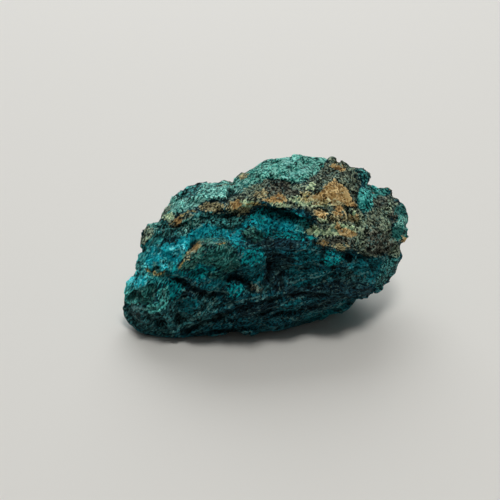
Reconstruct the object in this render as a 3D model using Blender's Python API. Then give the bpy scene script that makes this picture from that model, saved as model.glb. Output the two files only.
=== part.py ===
"""Rough chrysocolla specimen: one broken stone, 75 mm long, resting on a worn flat underside.

The stone is skinned over rails, the ridge lines that run from its left tip to its right nose.
The skin is remeshed into even faces and then weathered by moving each point along its normal:
named ledges, lumps and cracks, arched beds, and chipped facets. Last, the underside is cut flat.
Millimetres until the end. +X runs to the right along the stone, +Y to its back, +Z up, and the
origin lies on the surface that the stone rests on, under the middle of its box.
"""

import bmesh
import bpy
import numpy as np
from mathutils import Vector, noise

MM = 0.001
UP, LEFT = (0, 0, 1), (-1, 0, 0)

# The ridge lines, in order round the stone, from the front edge of the seat up the front.
RAILS = {
    "seat_front": [(-31, -9, 0), (-20, -13, 0), (-6, -13, 0), (8, -11.5, 0), (15, -9.5, 1.5),
                   (20, -7, 3.2), (27, -4, 7.5), (32, 0, 10.5), (35, 3, 16)],
    "toe": [(-36, -11.5, 1.8), (-32.5, -15.8, 0.4), (-24, -18, 0.4), (-17, -17.8, 1.2),
            (-8, -17.3, 2.4), (-4, -18, 1.5), (2, -16.8, 2.8), (10, -15, 4.1), (20, -12.2, 5.3),
            (25, -10, 8.8), (29.5, -9.5, 9), (33.2, -5.5, 11), (35, -1, 14.5), (36.5, 2, 19)],
    "belly": [(-36.9, -12, 7.5), (-29, -18, 9), (-17, -20.5, 11), (-2, -21, 13), (10, -20, 13),
              (20, -17, 13.5), (29, -12, 15), (33.5, -6, 18), (36.5, 1, 21)],
    "bench_lip": [(-35.2, -10, 12), (-28, -13, 19), (-18, -17, 24), (-9, -17, 26.5),
                  (0, -16.5, 26.5), (10, -16, 26.5), (19, -15, 25), (27, -12, 23.5), (32.5, -5, 23),
                  (36.8, 2, 23)],
    "hollow": [(-31.6, -5, 18.5), (-26, -5, 25), (-17, -7, 29.5), (-8, -7, 31.5), (0, -7, 32.5),
               (7, -8, 31.5), (12, -10, 29.5), (19, -13, 28), (27, -10, 26), (32.5, -3, 25),
               (36.8, 3, 24.5)],
    "brow": [(-32, -4, 20.5), (-27.3, -5, 26), (-17, -8, 31.5), (-8, -8.5, 33.5), (0, -9, 34.2),
             (7, -9.5, 33.2), (12, -10.5, 32), (19, -12.5, 30), (27, -8.5, 28.5), (33, -1, 27),
             (36.8, 4, 26)],
    "crust": [(-29.5, 2, 20.5), (-25.5, 1, 27), (-18, 1, 33), (-8, 2, 34.7), (0, 1, 38),
              (9, 0, 38.8), (18, 1, 37.8), (25, 3, 34.5), (28, 4, 31.5), (32, 5, 29.5),
              (36.5, 6, 27)],
    "crest": [(-28.5, 6, 20.5), (-24.5, 6, 27), (-20, 8, 31.4), (-9.5, 9, 32), (-5.5, 9, 35.3), (0, 9, 39),
              (9, 9, 40.1), (17.8, 9, 39.5), (21.5, 9, 36.9), (24, 9, 36.2), (27, 9, 34.6),
              (27.8, 8, 30), (31, 9.5, 29.8), (36, 8, 27.8)],
    "back_shoulder": [(-28.5, 10, 17), (-20, 16, 25), (-8, 17, 26.5), (2, 18, 32), (12, 18, 33),
                      (20, 17, 31), (27, 15, 27), (35.5, 10, 23)],
    "back_belly": [(-31, 9, 10), (-22, 19, 15), (-8, 21, 17), (4, 21, 19), (16, 20, 20),
                   (27, 16, 18), (35, 8, 18)],
    "back_toe": [(-31, 4, 2), (-22, 14, 2), (-8, 16, 2.5), (4, 17, 3), (14, 15, 4), (24, 11, 8),
                 (34, 5, 14)],
    "seat_back": [(-30, 0, 0), (-20, 9, 0), (-8, 11, 0), (4, 12, 0), (12, 9, 0.5), (20, 6, 3.5),
                  (28, 3, 8), (34, 3, 14)],
}
STATIONS = 60
LEFT_TIP = (-34, -2, 10)
RIGHT_NOSE = (37, 4, 22)
GRID = 1.0  # side of the remeshed faces

# Ledges: the line of the edge, the side that stands proud, the rise, and how far it dies away.
LEDGES = {
    "brow": ([(-28.4, -1, 25), (-24.3, -4.4, 28.4), (-20.5, -4.8, 30), (-16.6, -6.2, 31.4),
              (-9.5, -7.3, 32.4), (-4.4, -7.7, 34.2), (2.3, -8.3, 34.2), (6, -8.5, 33),
              (9.6, -9.5, 31.4), (12.4, -11.4, 31), (15.8, -12.6, 31)], UP, 1.2, 5),
    "crust_edge": ([(10.2, -10.5, 29.2), (10.8, -12.5, 27.6), (12.4, -14.8, 27), (15.8, -15.5, 26.6),
                    (19.6, -15.4, 25.6), (23.7, -12.6, 23.2), (28.5, -10.2, 22), (32.3, -7.6, 22),
                    (35.7, -1.3, 20.7)], UP, 1.4, 4.5),
    "green_ridge": ([(-26.6, -14.5, 18.3), (-23.5, -14.4, 20.8), (-20.8, -15, 23.4),
                     (-18.9, -14, 25), (-16.3, -14.5, 26.5), (-13, -15, 27.5), (-9.4, -15, 28)],
                    UP, -1.2, 5),
    "low_ledge": ([(-21.9, -17.5, 2.3), (-19.3, -17.5, 3.9), (-16.7, -18, 5.5), (-13.4, -20, 9.5),
                   (-6.4, -21, 12.8), (-0.2, -21, 14.4), (2.3, -20.2, 15.1), (6, -19.3, 15),
                   (9.1, -18, 14.8), (13.7, -17.5, 14.1), (17.3, -17.5, 14.2), (22.6, -15.5, 12)],
                  UP, 2.0, 5),
    "toe_ledge": ([(-0.9, -20, 10.8), (4.8, -19.2, 11.2), (9.9, -18, 11), (14.3, -16.6, 10.5),
                   (18.9, -15.6, 10.4)], UP, 0.9, 3),
    "foot_ledge": ([(-33, -16, 5), (-25.6, -17.9, 6.7), (-20.3, -19, 9.2), (-15.2, -20, 12.3)],
                   UP, 1.0, 3.5),
    "bulge_end": ([(-1, -13.5, 28.6), (-0.2, -16.3, 27), (0.3, -16.8, 22.8), (0, -17.8, 19.2),
                   (-0.5, -19.4, 16.7)], LEFT, 2.0, 5),
    "recess_lip": ([(0.5, -17, 25.2), (4, -16.6, 24.4), (7.2, -16.6, 23.2), (9.8, -16.4, 22.4)],
                   UP, 1.1, 3),
    "bench_step": ([(-4, -14.5, 28), (-1, -15.5, 28), (3.4, -16, 27.8), (8.4, -16, 27)], UP, 0.8, 3),
    "crown_end": ([(22, 4, 37), (22.5, 2, 36), (22.4, -2.4, 34.4), (22.7, -6.6, 33)], LEFT, 1.3, 4.5),
    "shoulder_end": ([(-9.5, 9, 33.5), (-9.8, -0.4, 34.3), (-9.2, -5.3, 34.3), (-9.2, -7.9, 33)],
                     LEFT, 0.9, 4),
    "nose_step": ([(31.6, 6, 30), (31.8, 0, 30), (32, -3.6, 27.8), (32.3, -6.6, 24.2),
                   (33.7, -5.5, 20.1)], LEFT, -0.9, 4),
    "back_ledge": ([(-28, 12, 14), (-18, 19, 18), (-4, 21, 21), (8, 20.5, 25), (20, 18, 25),
                    (31, 13, 22)], UP, 1.6, 8),
    "back_step": ([(-24, 17, 7), (-8, 20, 9), (6, 20.5, 9), (18, 18, 12)], UP, 1.1, 6),
    "left_step": ([(-34, -8, 14), (-34, -1, 15), (-31, 6, 16), (-28, 12, 17)], UP, 1.0, 5),
}

# Lumps, and pits as lumps that go in: the middle, the reach and the height.
LUMPS = {
    "boulder": ((-29.5, -16, 11), 7, 1.5),
    "green_lump": ((-13, -17.5, 23), 8, 1.2),
    "teal_bulge": ((-3.5, -17.5, 24.5), 5.5, 1.5),
    "low_lump": ((-8, -20, 16.5), 3.6, 1.5),
    "small_block": ((10.2, -15.8, 24.4), 3.6, 0.8),
    "block": ((16.6, -16, 23.6), 4, 1.4),
    "tan_pile": ((15, -4, 36), 7, 0.9),
    "teal_chip": ((25.5, -0.5, 32.5), 4.5, 1.0),
    "lower_tan": ((17, -12.5, 29), 6, 1.2),
    "left_chip": ((-31, -2.4, 22.8), 4.6, 2.8),
    "end_knob": ((36, 4, 26.4), 4, 1.0),
    "crest_ear": ((26.5, 8, 36), 3.5, 1.3),
    "low_lens": ((6, -19.5, 12.4), 3.6, 0.9),
    "recess": ((5.5, -18, 20), 7.5, -1.6),
    "recess_right": ((13, -17.5, 19), 6, -0.9),
    "brow_hollow": ((4, -10, 31), 6, -1.2),
    "notch": ((28.6, 7, 32), 3.5, -1.3),
    "corner_pit": ((20.2, -15, 23.3), 2.6, -1.8),
    "end_scoop": ((-34, -1, 10), 7, -1.4),
    "back_scoop": ((-4, 21, 13), 8, -1.8),
    "back_knob": ((14, 20, 19), 7, 1.6),
    "back_pit": ((24, 16, 17), 5, -1.8),
}

# Cracks: the line, the width across and the depth.
CRACKS = {
    "left_crack": ([(-26.6, -14.6, 18.5), (-23.4, -16.5, 18.6), (-19.7, -17.8, 17.3),
                    (-16.4, -19.2, 15.2), (-10.2, -20.2, 16)], 2.6, 1.5),
    "dark_pit": ([(-9.4, -18.7, 19), (-7.4, -18.2, 19.8), (-4.7, -19, 19), (-3.5, -20, 18.3)],
                 4.4, 2.4),
    "boulder_rim": ([(-35.2, -11, 9), (-33.6, -13, 12.6), (-31.7, -14.8, 15.2), (-29.1, -15.4, 16.4),
                     (-26.6, -15.1, 17)], 2.4, 0.9),
    "brow_crack": ([(-4.4, -8.5, 32.8), (2.3, -8.6, 32.8), (6, -9, 31.6), (9.6, -10, 30.4),
                    (12, -11.5, 29.6)], 2.8, 1.4),
    "back_crack": ([(2, 20, 27), (5, 21, 18), (4, 20, 10)], 3, 1.6),
}

# The beds, arched over one point of the length and dipping to the front.
BED = 4.6
BED_RELIEF = 0.9
BED_DIP = 0.33
BED_ARCH = 0.011
ARCH_AT = 14.5
BED_WAVE = 1.6

# Chipped facets, scattered through the box of the stone, and the swell and roughness under them.
CHIPS = 290
CHIP_TILT = 0.2
CHIP_BEND = 1.2
CHIP_MOST = 1.0
CHIP_SEED = 5
SWELL = 11.0
SWELL_RELIEF = 0.7
ROUGH = 3.2
ROUGH_RELIEF = 0.45

# Calmer places: the middle, the reach, and the share of the swell, chips and beds that is left.
CALM = {
    "crown": ((5, 0, 37), 22, 0.5),
    "hollow": ((-4, -10, 31), 11, 0.45),
    "shoulder": ((-20, -1, 31), 9, 0.6),
}

SEAT_CUT = 0.3  # what the flat underside takes off
SEAT_FADE = 4.0  # height over which the weathering comes in above it
TRIANGLES = 9400


def along(rail, share):
    """The point of a rail at this share of its run in X."""
    x = rail[0][0] + share * (rail[-1][0] - rail[0][0])
    for a, b in zip(rail, rail[1:]):
        if x <= b[0]:
            break
    return Vector(a).lerp(Vector(b), (x - a[0]) / (b[0] - a[0]))


def skin_over_rails():
    """A closed mesh whose rings join the rails, with a fan over each end."""
    bm = bmesh.new()
    rings = []
    for i in range(STATIONS + 1):
        rings.append([bm.verts.new(along(rail, i / STATIONS)) for rail in RAILS.values()])
    sides = len(RAILS)
    for near, far in zip(rings, rings[1:]):
        for j in range(sides):
            k = (j + 1) % sides
            bm.faces.new((near[j], near[k], far[k], far[j]))
    for ring, tip in ((rings[0], LEFT_TIP), (rings[-1], RIGHT_NOSE)):
        centre = bm.verts.new(tip)
        for j in range(sides):
            bm.faces.new((ring[j], ring[(j + 1) % sides], centre))
    bmesh.ops.recalc_face_normals(bm, faces=bm.faces)
    mesh = bpy.data.meshes.new("skin")
    bm.to_mesh(mesh)
    bm.free()
    return mesh


def modified(mesh, kind, **settings):
    """The mesh as one modifier leaves it."""
    guide = bpy.data.objects.new("guide", mesh)
    bpy.context.scene.collection.objects.link(guide)
    modifier = guide.modifiers.new(kind, kind)
    for name, value in settings.items():
        setattr(modifier, name, value)
    graph = bpy.context.evaluated_depsgraph_get()
    made = bpy.data.meshes.new_from_object(guide.evaluated_get(graph))
    bpy.data.objects.remove(guide)
    return made


def smooth_step(low, high, values):
    share = np.clip((values - low) / (high - low), 0, 1)
    return share * share * (3 - 2 * share)


def from_path(points, path):
    """For each point, the way to it from the nearest place on the path."""
    best = np.full(len(points), np.inf)
    offset = np.zeros_like(points)
    path = np.array(path, float)
    for a, b in zip(path, path[1:]):
        share = np.clip((points - a) @ (b - a) / ((b - a) @ (b - a)), 0, 1)
        way = points - (a + share[:, None] * (b - a))
        length = np.linalg.norm(way, axis=1)
        nearer = length < best
        best[nearer] = length[nearer]
        offset[nearer] = way[nearer]
    return offset, best


def ledge_relief(points, path, proud, rise, reach):
    """Half the rise out on the proud side of the line and half of it in on the other."""
    offset, distance = from_path(points, path)
    side = np.clip(offset @ np.array(proud, float) / 0.9, -1, 1)
    return 0.5 * rise * side * np.exp(-((distance / reach) ** 2)) * np.where(side > 0, 1.3, 0.9)


def lump_relief(points, middle, reach, height):
    share = np.linalg.norm(points - np.array(middle, float), axis=1) / reach
    return height * np.clip(1 - share * share, 0, 1) ** 1.3


def crack_relief(points, path, width, depth):
    distance = from_path(points, path)[1]
    return -depth * np.clip(1 - distance / (0.5 * width), 0, 1)


def bed_relief(points, normals):
    """Each bed stands proud at its top edge and is worn back below, where the face cuts across it."""
    wave = np.array([noise.fractal(Vector(p) / 13, 1, 2, 3) for p in points])
    height = points[:, 2] - BED_DIP * points[:, 1] + BED_ARCH * (points[:, 0] - ARCH_AT) ** 2
    height = (height + BED_WAVE * wave) / BED
    share = height - np.floor(height)
    across = np.array([2 * BED_ARCH * (p[0] - ARCH_AT) for p in points])
    bed_normal = np.stack([across, np.full(len(points), -BED_DIP), np.ones(len(points))], axis=1)
    bed_normal /= np.linalg.norm(bed_normal, axis=1)[:, None]
    cut_across = 1 - np.sum(bed_normal * normals, axis=1) ** 2
    patch = np.array([noise.noise(Vector(p) / 9 + Vector((7, 3, 5))) for p in points])
    worn = share**1.6 * smooth_step(1.0, 0.88, share)
    return BED_RELIEF * (worn - 0.4) * cut_across * smooth_step(-0.35, 0.25, patch)


def chip_relief(points):
    """Flat chips: the break round each of many scattered centres has its own tilt."""
    dice = np.random.default_rng(CHIP_SEED)
    noise.seed_set(CHIP_SEED)
    low, high = points.min(axis=0), points.max(axis=0)
    centres = dice.uniform(low, high, (CHIPS, 3))
    tilts = dice.normal(0, CHIP_TILT, (CHIPS, 3))
    bend = np.array([noise.noise_vector(Vector(p) / 4) for p in points])
    bent = points + CHIP_BEND * bend
    nearest = np.array([np.argmin(((centres - p) ** 2).sum(axis=1)) for p in bent])
    relief = np.sum(tilts[nearest] * (bent - centres[nearest]), axis=1)
    return np.clip(relief, -CHIP_MOST, CHIP_MOST)


def swell_relief(points):
    relief = np.zeros(len(points))
    for i, p in enumerate(points):
        relief[i] = SWELL_RELIEF * noise.fractal(Vector(p) / SWELL, 1, 2, 2)
        relief[i] += ROUGH_RELIEF * noise.fractal(Vector(p) / ROUGH, 0.8, 2, 3)
    return relief


def weathered(mesh):
    """Moves each point of the mesh along its normal by everything that shaped the break."""
    count = len(mesh.vertices)
    points, normals = np.empty(count * 3), np.empty(count * 3)
    mesh.vertices.foreach_get("co", points)
    mesh.vertices.foreach_get("normal", normals)
    points, normals = points.reshape(-1, 3), normals.reshape(-1, 3)
    relief = swell_relief(points) + chip_relief(points) + bed_relief(points, normals)
    for middle, reach, left in CALM.values():
        relief *= 1 - (1 - left) * lump_relief(points, middle, reach, 1)
    for ledge in LEDGES.values():
        relief += ledge_relief(points, *ledge)
    for lump in LUMPS.values():
        relief += lump_relief(points, *lump)
    for crack in CRACKS.values():
        relief += crack_relief(points, *crack)
    relief *= smooth_step(0, SEAT_FADE, points[:, 2])
    mesh.vertices.foreach_set("co", (points + relief[:, None] * normals).ravel())
    mesh.update()


def cut_flat(mesh):
    """Cuts the underside off level, and stands the stone on the origin, centred."""
    bm = bmesh.new()
    bm.from_mesh(mesh)
    whole = bm.verts[:] + bm.edges[:] + bm.faces[:]
    cut = bmesh.ops.bisect_plane(
        bm, geom=whole, plane_co=(0, 0, SEAT_CUT), plane_no=(0, 0, -1), clear_outer=True, dist=1e-4
    )
    rim = [item for item in cut["geom_cut"] if isinstance(item, bmesh.types.BMEdge)]
    bmesh.ops.holes_fill(bm, edges=rim)
    low = Vector(min(v.co[i] for v in bm.verts) for i in range(3))
    high = Vector(max(v.co[i] for v in bm.verts) for i in range(3))
    middle = (low + high) / 2
    for v in bm.verts:
        v.co = (v.co - Vector((middle.x, middle.y, low.z))) * MM
    bmesh.ops.triangulate(bm, faces=bm.faces)
    bmesh.ops.recalc_face_normals(bm, faces=bm.faces)
    bm.to_mesh(mesh)
    bm.free()


def rock_material():
    material = bpy.data.materials.new("chrysocolla")
    material.use_nodes = True
    shader = material.node_tree.nodes["Principled BSDF"]
    shader.inputs["Base Color"].default_value = (0.02, 0.17, 0.19, 1)
    shader.inputs["Roughness"].default_value = 0.6
    shader.inputs["Metallic"].default_value = 0.0
    return material


def main():
    for old in list(bpy.data.objects):
        bpy.data.objects.remove(old)
    mesh = modified(skin_over_rails(), "REMESH", mode="VOXEL", voxel_size=GRID)
    weathered(mesh)
    mesh = modified(mesh, "TRIANGULATE")
    mesh = modified(mesh, "DECIMATE", ratio=TRIANGLES / len(mesh.polygons))
    cut_flat(mesh)
    mesh.materials.append(rock_material())
    stone = bpy.data.objects.new("chrysocolla_stone", mesh)
    bpy.context.scene.collection.objects.link(stone)


main()
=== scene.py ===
import math

import bpy
import bmesh
import numpy as np
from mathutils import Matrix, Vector, noise


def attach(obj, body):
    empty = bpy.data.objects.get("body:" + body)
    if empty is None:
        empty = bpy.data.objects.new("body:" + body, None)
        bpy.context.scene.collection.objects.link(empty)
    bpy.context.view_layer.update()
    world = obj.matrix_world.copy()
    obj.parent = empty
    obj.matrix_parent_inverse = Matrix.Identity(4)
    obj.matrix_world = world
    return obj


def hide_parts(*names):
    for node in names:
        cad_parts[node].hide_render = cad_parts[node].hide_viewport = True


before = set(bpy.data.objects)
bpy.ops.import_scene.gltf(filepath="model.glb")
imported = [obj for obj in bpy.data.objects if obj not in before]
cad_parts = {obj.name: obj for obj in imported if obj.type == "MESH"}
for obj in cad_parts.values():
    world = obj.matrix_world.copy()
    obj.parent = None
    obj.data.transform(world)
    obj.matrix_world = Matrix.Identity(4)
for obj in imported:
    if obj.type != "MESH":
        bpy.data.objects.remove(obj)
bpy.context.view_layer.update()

# The camera: a long lens thirty centimetres off, looking down on the stone's front. Its frame is
# the one that the stone's markings are laid out in.
MM = 0.001
LOOKED_AT = Vector((-4.71, 0.62, 16.6)) * MM
LOOK_DOWN = math.radians(30)
CAMERA_DISTANCE = 300 * MM
LENS, FILM = 82, 36
FRAME_SIDE = 500  # pixels

camera = bpy.data.objects.new("camera", bpy.data.cameras.new("camera"))
camera.data.lens, camera.data.sensor_width = LENS, FILM
camera.data.clip_start = 10 * MM
TO_CAMERA = Vector((0, -math.cos(LOOK_DOWN), math.sin(LOOK_DOWN)))
camera.location = LOOKED_AT + CAMERA_DISTANCE * TO_CAMERA
camera.rotation_euler = (math.radians(90) - LOOK_DOWN, 0, 0)
bpy.context.scene.collection.objects.link(camera)
bpy.context.scene.camera = camera


# The stone's body: one lump of chrysocolla, a blue and teal copper silicate, broken out of its
# vein with a dull weathered crust on its upper side. The CAD solid gets a fine skin, each finish
# is laid on in patches, and the skin is then worn into beds, chips, grains and pits.
SKIN_GRID = 0.38 * MM  # about the length of the skin's faces
WELD = 0.001 * MM
SMOOTHING, SMOOTHING_ROUNDS = 0.5, 5


def modified(mesh, kind, **settings):
    """The mesh as one modifier leaves it."""
    guide = bpy.data.objects.new("guide", mesh)
    bpy.context.scene.collection.objects.link(guide)
    modifier = guide.modifiers.new(kind, kind)
    for name, value in settings.items():
        setattr(modifier, name, value)
    graph = bpy.context.evaluated_depsgraph_get()
    made = bpy.data.meshes.new_from_object(guide.evaluated_get(graph))
    bpy.data.objects.remove(guide)
    return made


def fine_skin(node):
    """A copy of the CAD stone in fine, even faces, with its facets eased."""
    bm = bmesh.new()
    bm.from_mesh(node.data)
    bmesh.ops.remove_doubles(bm, verts=bm.verts, dist=WELD)
    mesh = bpy.data.meshes.new("skin")
    bm.to_mesh(mesh)
    bm.free()
    mesh = modified(mesh, "REMESH", mode="VOXEL", voxel_size=SKIN_GRID)
    return modified(mesh, "SMOOTH", factor=SMOOTHING, iterations=SMOOTHING_ROUNDS)


def read(mesh, what):
    """One vector for every point of the mesh."""
    values = np.empty(len(mesh.vertices) * 3)
    mesh.vertices.foreach_get(what, values)
    return values.reshape(-1, 3)


def step(low, high, values):
    """0 at low, 1 at high, and a smooth rise between."""
    share = np.clip((values - low) / (high - low), 0, 1)
    return share * share * (3 - 2 * share)


def seen_at(points):
    """Where the camera sees each point, in pixels across and down."""
    away = points / MM - np.array(LOOKED_AT / MM)
    sine, cosine = math.sin(LOOK_DOWN), math.cos(LOOK_DOWN)
    depth = CAMERA_DISTANCE / MM + cosine * away[:, 1] - sine * away[:, 2]
    scale = FRAME_SIDE * LENS / FILM / depth
    across = FRAME_SIDE / 2 + scale * away[:, 0]
    down = FRAME_SIDE / 2 - scale * (sine * away[:, 1] + cosine * away[:, 2])
    return np.stack([across, down], axis=1)


FAR_OUT = 12.0  # pixels outside a shape past which its distance doesn't matter


def depth_inside(all_places, corners, width=None):
    """How far each place lies inside a closed outline, or in a stroke of some width."""
    corners = np.array(corners, float)
    low, high = corners.min(axis=0) - FAR_OUT, corners.max(axis=0) + FAR_OUT
    near = np.all((all_places > low) & (all_places < high), axis=1)
    places = all_places[near]
    nearest = np.full(len(places), FAR_OUT)
    within = np.zeros(len(places), bool)
    following = corners[1:] if width else np.roll(corners, -1, axis=0)
    for a, b in zip(corners, following):
        share = np.clip((places - a) @ (b - a) / ((b - a) @ (b - a)), 0, 1)
        off = np.linalg.norm(places - a - share[:, None] * (b - a), axis=1)
        nearest = np.minimum(nearest, off)
        rises = (a[1] > places[:, 1]) != (b[1] > places[:, 1])
        slope = (b[0] - a[0]) / (b[1] - a[1] if b[1] != a[1] else 1)
        within ^= rises & (places[:, 0] < a[0] + slope * (places[:, 1] - a[1]))
    depth = np.full(len(all_places), -FAR_OUT)
    depth[near] = 0.5 * width - nearest if width else np.where(within, nearest, -nearest)
    return depth


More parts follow.
